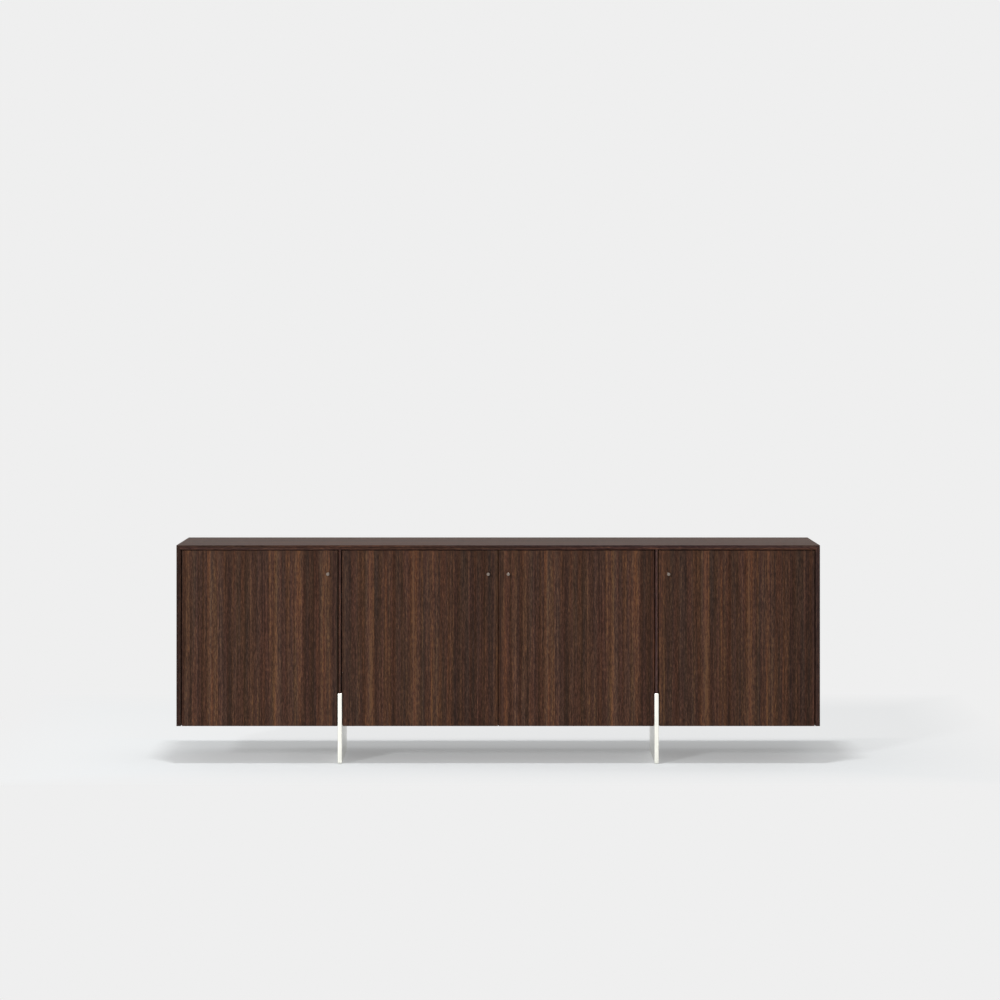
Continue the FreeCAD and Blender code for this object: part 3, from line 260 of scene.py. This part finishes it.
def veneer(name, grain, leaf=None, origin=PART_ORIGIN, tone=1.0, edge=None, satin=VENEER_SATIN):
    """Stained veneer; tone is a factor on its colour, and edge a further factor on front edges."""
    material, tree, shader = new_material(name)
    bands, fibres, flecks, specks, pores = [
        grain_noise(tree, grain, layer, origin) for layer in (BANDS, FIBRES, FLECKS, SPECKS, PORES)
    ]
    if leaf:
        streaks = streaks_of_leaf(tree, leaf, origin)
    else:
        streaks = remap(tree, bands, NOISE_SPAN, PLAIN_STREAKS)
    variation = weighted(tree, zip((bands, fibres, flecks, specks), FIGURE_WEIGHTS))
    colour = ramp(tree, arithmetic(tree, "ADD", streaks, variation), VENEER_STOPS)
    pore_mask = remap(tree, pores, PORE_SPAN, (0.0, PORE_DEPTH))
    colour = tint(tree, pore_mask, colour, rgba(PORE))
    colour = times(tree, colour, rgba(scaled(STAIN, tone)))
    for layer, first, last in ((WARMTH, COOL_CAST, WARM_CAST), (BLUSH, OLIVE_CAST, RED_CAST)):
        hue = grain_noise(tree, grain, layer, origin)
        colour = times(tree, colour, shade(tree, hue, CAST_SPAN, first, last))
    if edge:
        away = remap(tree, axes_of(tree, "Normal")["Y"], FRONT_SPAN)
        edge_tone = shade(tree, away, WHOLE_SPAN, scaled(EDGE_CAST, edge), WHITE)
        colour = times(tree, colour, edge_tone)
    tree.links.new(colour, shader.inputs["Base Color"])
    tree.links.new(remap(tree, fibres, NOISE_SPAN, VENEER_ROUGHNESS), shader.inputs["Roughness"])
    shader.inputs["Specular IOR Level"].default_value = satin
    shader.inputs["Specular Tint"].default_value = rgba(LACQUER_TINT)
    relief = arithmetic(tree, "SUBTRACT", arithmetic(tree, "MULTIPLY", fibres, FIBRE_RELIEF), pore_mask)
    bump(tree, shader, relief, strength=0.25, distance=0.0002)
    return material


# Boards, metals and plastics
METAL_BRUSH_ROUGHNESS = 0.65
METAL_CLOUD = (14.0, 14.0, 14.0)
MOULD_CLOUD = (45.0, 45.0, 45.0)
# Square of X of the direction a surface faces, from another side to the left or right, over which metal sides
# take painted shade
SHADED_SIDE_SPAN = (0.5, 0.95)


def mottled(tree, shader, fine, coarse, fine_share, colour, tones, roughness):
    """A colour that two noises move between two tones of it; the fine one also moves the roughness."""
    level = arithmetic(
        tree, "ADD",
        arithmetic(tree, "MULTIPLY", fine, fine_share),
        arithmetic(tree, "MULTIPLY", coarse, 1.0 - fine_share),
    )
    tree.links.new(remap(tree, fine, NOISE_SPAN, roughness), shader.inputs["Roughness"])
    dark, light = [scaled(colour, tone) for tone in tones]
    return shade(tree, level, NOISE_SPAN, dark, light)


def plain_board(name, grain, colour, contrast):
    """Inner board or solid timber: an even tone with soft grain."""
    material, tree, shader = new_material(name)
    fibres = grain_noise(tree, grain, BOARD_FIBRES)
    bands = grain_noise(tree, grain, BOARD_BANDS)
    surface = mottled(
        tree, shader, fibres, bands, fine_share=0.4, colour=colour,
        tones=(1 - contrast, 1 + contrast), roughness=(0.5, 0.64),
    )
    tree.links.new(surface, shader.inputs["Base Color"])
    shader.inputs["Specular IOR Level"].default_value = 0.3
    bump(tree, shader, fibres, strength=0.15, distance=0.0002)
    return material


def brushed_metal(name, colour, roughness, brush, variation=0.05, painted_side_shade=None):
    """Metal with lines that change brush times a metre along X, Y and Z, and optional painted shade: a factor
    on the colour of its X faces.
    """
    material, tree, shader = new_material(name)
    lines = noise(tree, brush, detail=3.0, roughness=METAL_BRUSH_ROUGHNESS)
    cloud = noise(tree, METAL_CLOUD)
    surface = mottled(
        tree, shader, lines, cloud, fine_share=0.7, colour=colour,
        tones=(1 - variation, 1 + variation), roughness=(roughness - 0.05, roughness + 0.07),
    )
    # Painted shade: faces that look along X get a darker, cooler colour, as if less lit
    if painted_side_shade:
        across = axes_of(tree, "Normal")["X"]
        share = remap(tree, arithmetic(tree, "MULTIPLY", across, across), SHADED_SIDE_SPAN)
        surface = times(tree, surface, shade(tree, share, WHOLE_SPAN, WHITE, painted_side_shade))
    tree.links.new(surface, shader.inputs["Base Color"])
    shader.inputs["Metallic"].default_value = 1.0
    bump(tree, shader, lines, strength=0.12, distance=0.0001)
    return material


def moulded(name, colour, roughness, grains, specular=0.4):
    """Moulded plastic, rubber or powder coat: slight clouding and a texture of so many grains a metre."""
    material, tree, shader = new_material(name)
    grain = noise(tree, (grains, grains, grains), detail=3.0, roughness=0.6)
    cloud = noise(tree, MOULD_CLOUD)
    surface = mottled(
        tree, shader, grain, cloud, fine_share=0.5, colour=colour,
        tones=(0.86, 1.12), roughness=(roughness - 0.06, roughness + 0.08),
    )
    tree.links.new(surface, shader.inputs["Base Color"])
    shader.inputs["Specular IOR Level"].default_value = specular
    bump(tree, shader, grain, strength=0.2, distance=0.00008)
    return material


def paint(material, *names):
    for name in names:
        slots = nodes[name].data.materials
        slots.clear()
        slots.append(material)


def of_doors(*endings):
    """Names of the pieces of all doors that have these endings."""
    return [f"{door}{ending}" for door in DOORS for ending in endings]


# The first and third doors are cut from one leaf, the second and fourth from another.
# Each has a shift sideways on its leaf, a place along the grain, and a factor on the colour.
LEAF_OF_DOOR = {
    "left_door": (LEAF_A, 0.0, 0.0, 1.0),
    "centre_left_door": (LEAF_B, 0.0, 9.0, 0.87),
    "centre_right_door": (LEAF_A, 0.069, 0.0, 1.0),
    "right_door": (LEAF_B, 0.064, 9.0, 0.87),
}
for door, (leaf, shift, along, tone) in LEAF_OF_DOOR.items():
    leaf_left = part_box(door)[0].x - LEAF_MARGIN + shift
    paint(veneer(f"{door}_veneer", "Z", leaf, (leaf_left, 0.0, along), tone), door)

# Upright panels, each with its place in the noise and the factors on its colour and on its front edge
PANEL_FIGURE = {
    "left_side_panel": ((0.0, 0.0, 0.0), 0.80, 0.56),
    "right_side_panel": ((0.31, 0.0, 2.0), 0.80, 0.74),
    "left_divider": ((0.013, 0.0, 5.0), 0.90, 1.0),
    "right_divider": ((0.31, 0.0, 2.0), 0.90, 1.65),
}
for panel, (origin, tone, edge) in PANEL_FIGURE.items():
    paint(veneer(f"{panel}_veneer", "Z", origin=origin, tone=tone, edge=edge), panel)
paint(veneer("top_veneer", "X", tone=0.84, edge=1.0, satin=TOP_SATIN), "top_panel")

INNER_BROWN = (0.075, 0.046, 0.033)
inner_board = plain_board("inner_board", "X", INNER_BROWN, contrast=0.3)
paint(inner_board, "bottom_panel", "left_shelf", "centre_shelf", "right_shelf")
paint(plain_board("back_board", "Z", INNER_BROWN, contrast=0.3), "back_panel")
beech = plain_board("beech", "X", colour=(0.52, 0.36, 0.21), contrast=0.18)
paint(beech, "carcass_dowels", "mitre_splines")

# The broad sides of the leg blades carry painted shade, a darker and cooler colour than their front edges
leg_metal = brushed_metal(
    "leg_metal", colour=(0.905, 0.90, 0.825), roughness=0.38, brush=(700.0, 700.0, 12.0),
    variation=0.07, painted_side_shade=(0.85, 0.855, 0.89),
)
paint(leg_metal, "left_leg_blade", "right_leg_blade")
knob_metal = brushed_metal(
    "knob_metal", colour=(0.205, 0.172, 0.148), roughness=0.36, brush=(700.0, 90.0, 700.0),
)
paint(knob_metal, *of_doors("_knob"))
black_nickel = brushed_metal(
    "black_nickel", colour=(0.075, 0.070, 0.066), roughness=0.30, brush=(260.0, 260.0, 260.0), variation=0.12,
)
paint(black_nickel, "hinge_plates", "hinge_plate_screws", "hinge_arm_screws")
paint(black_nickel, *of_doors("_hinge_arms", "_hinge_cups", "_hinge_pins", "_cup_screws", "_strike"))
zinc = brushed_metal(
    "zinc_plate", colour=(0.60, 0.60, 0.58), roughness=0.36, brush=(400.0, 400.0, 400.0), variation=0.08,
)
paint(zinc, "leg_bolts", "leg_screws", "catch_screws", "shelf_pins", *of_doors("_knob_screw"))

powder_coat = moulded("black_powder_coat", colour=(0.035, 0.034, 0.034), roughness=0.5, grains=1800.0)
paint(powder_coat, "leg_flanges")
nylon = moulded("glide_nylon", colour=(0.62, 0.62, 0.60), roughness=0.48, grains=900.0)
paint(nylon, "floor_glides")
catch_plastic = moulded("catch_plastic", colour=(0.045, 0.033, 0.027), roughness=0.45, grains=1400.0)
paint(catch_plastic, "magnetic_catches")
silicone = moulded("bumper_silicone", colour=(0.42, 0.41, 0.39), roughness=0.35, grains=700.0, specular=0.5)
paint(silicone, *of_doors("_bumpers"))

# Studio: pale floor and background, a surround that is brighter at the rear right, and three lamps
BACKGROUND = (0.863, 0.863, 0.863)
FLOOR_HALF = 12.0
FLOOR_SPECKLE = (30.0, 30.0, 30.0)
FLOOR_DARK = (0.765, 0.795, 0.81)
FLOOR_LIGHT = (0.775, 0.805, 0.82)
# Shares of the background in the floor: under the part, at its front and behind it
GLOW_NEAR = 0.27
GLOW_FRONT = 0.365
GLOW_BEHIND = 0.70
# Spans of Y, or of the distance to either side, in which that share grows
SHADOW_UNDER = (0.20, -0.12)
SHADOW_FRONT = (-0.30, -0.75)
SHADOW_SIDE = (1.06, 1.90)
SHADOW_REAR = (0.43, 0.54)
FLOOR_REAR = (0.70, 2.00)
# Span of Y in which reflections of the floor turn white, and how white they are
MIRROR_FRONT = (-0.24, -0.50)
MIRROR_LEVEL = 0.94

floor_mesh = bpy.data.meshes.new("floor")
corners = [(x * FLOOR_HALF, y * FLOOR_HALF, 0.0) for x, y in ((-1, -1), (1, -1), (1, 1), (-1, 1))]
floor_mesh.from_pydata(corners, [], [(0, 1, 2, 3)])
floor = bpy.data.objects.new("floor", floor_mesh)
bpy.context.scene.collection.objects.link(floor)


def floor_material():
    """A pale floor that keeps the shadow near the part and turns into the background away from it."""
    material = bpy.data.materials.new("floor")
    tree = empty_tree(material)
    diffuse = add(tree, "ShaderNodeBsdfDiffuse")
    speckle = noise(tree, FLOOR_SPECKLE, detail=3.0)
    tree.links.new(shade(tree, speckle, NOISE_SPAN, FLOOR_DARK, FLOOR_LIGHT), diffuse.inputs["Color"])
    place = axes_of(tree, "Object")
    aside = add(tree, "ShaderNodeMath", operation="ABSOLUTE")
    tree.links.new(place["X"], aside.inputs[0])
    away = remap(tree, place["Y"], SHADOW_REAR, (GLOW_NEAR, GLOW_BEHIND))
    for measure, span, most in (
        (place["Y"], SHADOW_UNDER, GLOW_FRONT),
        (place["Y"], SHADOW_FRONT, 1.0),
        (aside.outputs["Value"], SHADOW_SIDE, 1.0),
        (place["Y"], FLOOR_REAR, 1.0),
    ):
        away = arithmetic(tree, "MAXIMUM", away, remap(tree, measure, span, (GLOW_NEAR, most)))
    path = add(tree, "ShaderNodeLightPath")
    seen = path.outputs["Is Camera Ray"]
    for ray in ("Is Glossy Ray", "Is Transmission Ray"):
        seen = arithmetic(tree, "MAXIMUM", seen, path.outputs[ray])
    shown = arithmetic(tree, "MULTIPLY", away, seen)
    front = remap(tree, place["Y"], MIRROR_FRONT)
    mirrored = arithmetic(tree, "MULTIPLY", front, path.outputs["Is Glossy Ray"])
    glow = glowing(tree, "ShaderNodeEmission", BACKGROUND)
    white = glowing(tree, "ShaderNodeEmission", WHITE, MIRROR_LEVEL)
    below = add(tree, "ShaderNodeNewGeometry").outputs["Backfacing"]
    clear = add(tree, "ShaderNodeBsdfTransparent")
    surface = layered(
        tree, diffuse.outputs["BSDF"],
        (shown, glow.outputs["Emission"]),
        (mirrored, white.outputs["Emission"]),
        (below, clear.outputs["BSDF"]),
    )
    output = add(tree, "ShaderNodeOutputMaterial")
    tree.links.new(surface, output.inputs["Surface"])
    return material


floor_mesh.materials.append(floor_material())


def world_light(strength, rim, rim_from):
    """A white surround that grows by rim towards one side, with a pale background for the camera."""
    world = bpy.data.worlds.new("studio")
    bpy.context.scene.world = world
    tree = empty_tree(world)
    lighting = glowing(tree, "ShaderNodeBackground", WHITE)
    direction = add(tree, "ShaderNodeTexCoord")
    towards = add(tree, "ShaderNodeVectorMath", operation="DOT_PRODUCT")
    tree.links.new(direction.outputs["Generated"], towards.inputs[0])
    towards.inputs[1].default_value = Vector(rim_from).normalized()
    level = remap(tree, towards.outputs["Value"], WHOLE_SPAN, (strength, strength + rim))
    tree.links.new(level, lighting.inputs["Strength"])
    shown = glowing(tree, "ShaderNodeBackground", BACKGROUND).outputs["Background"]
    mirrored = glowing(tree, "ShaderNodeBackground", WHITE).outputs["Background"]
    path = add(tree, "ShaderNodeLightPath")
    surface = layered(
        tree, lighting.outputs["Background"],
        (path.outputs["Is Glossy Ray"], mirrored),
        (path.outputs["Is Transmission Ray"], shown),
        (path.outputs["Is Camera Ray"], shown),
    )
    output = add(tree, "ShaderNodeOutputWorld")
    tree.links.new(surface, output.inputs["Surface"])


def area_light(name, location, target, width, height, power, mirrored=True):
    """A rectangular lamp that faces a target; one that isn't mirrored doesn't show in glossy surfaces."""
    light = bpy.data.lights.new(name, "AREA")
    light.shape = "RECTANGLE"
    light.size = width
    light.size_y = height
    light.energy = power
    lamp = bpy.data.objects.new(name, light)
    lamp.location = location
    lamp.visible_glossy = mirrored
    lamp.rotation_euler = (Vector(target) - Vector(location)).to_track_quat("-Z", "Y").to_euler()
    bpy.context.scene.collection.objects.link(lamp)


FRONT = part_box("left_door")[0].y
world_light(strength=0.36, rim=0.34, rim_from=(0.75, 0.65, 0.05))
area_light(
    "overhead", location=(-0.3, FRONT - 1.55, 8.0), target=PART_ORIGIN,
    width=1.0, height=0.4, power=290.0,
)
area_light(
    "front_left", location=(-9.3, FRONT - 16.5, 6.6), target=(0.0, FRONT, 0.4),
    width=2.1, height=2.1, power=1940.0,
)
area_light(
    "low_left", location=(-5.6, 0.1, 1.5), target=(-1.0, 0.1, 0.0),
    width=0.8, height=0.8, power=95.0, mirrored=False,
)

# Camera: level, facing the doors, with the frame moved down by lens shift
PHOTO_SIDE = 1000
PIXELS_PER_METRE = 292.55
CENTRE_PIXEL = 498.2
HORIZON_PIXEL = 342.0
CAMERA_DISTANCE = 11.1
CAMERA_HEIGHT = 1.443
SENSOR_MILLIMETRES = 36.0
camera_data = bpy.data.cameras.new("camera")
camera_data.sensor_width = SENSOR_MILLIMETRES
camera_data.lens = PIXELS_PER_METRE * CAMERA_DISTANCE / PHOTO_SIDE * SENSOR_MILLIMETRES
camera_data.shift_x = (PHOTO_SIDE / 2 - CENTRE_PIXEL) / PHOTO_SIDE
camera_data.shift_y = (HORIZON_PIXEL - PHOTO_SIDE / 2) / PHOTO_SIDE
camera_data.clip_end = 100.0
camera = bpy.data.objects.new("camera", camera_data)
camera.location = (0.0, FRONT - CAMERA_DISTANCE, CAMERA_HEIGHT)
camera.rotation_euler = (math.radians(90), 0.0, 0.0)
bpy.context.scene.collection.objects.link(camera)
bpy.context.scene.camera = camera
bpy.context.scene.view_settings.view_transform = "Standard"
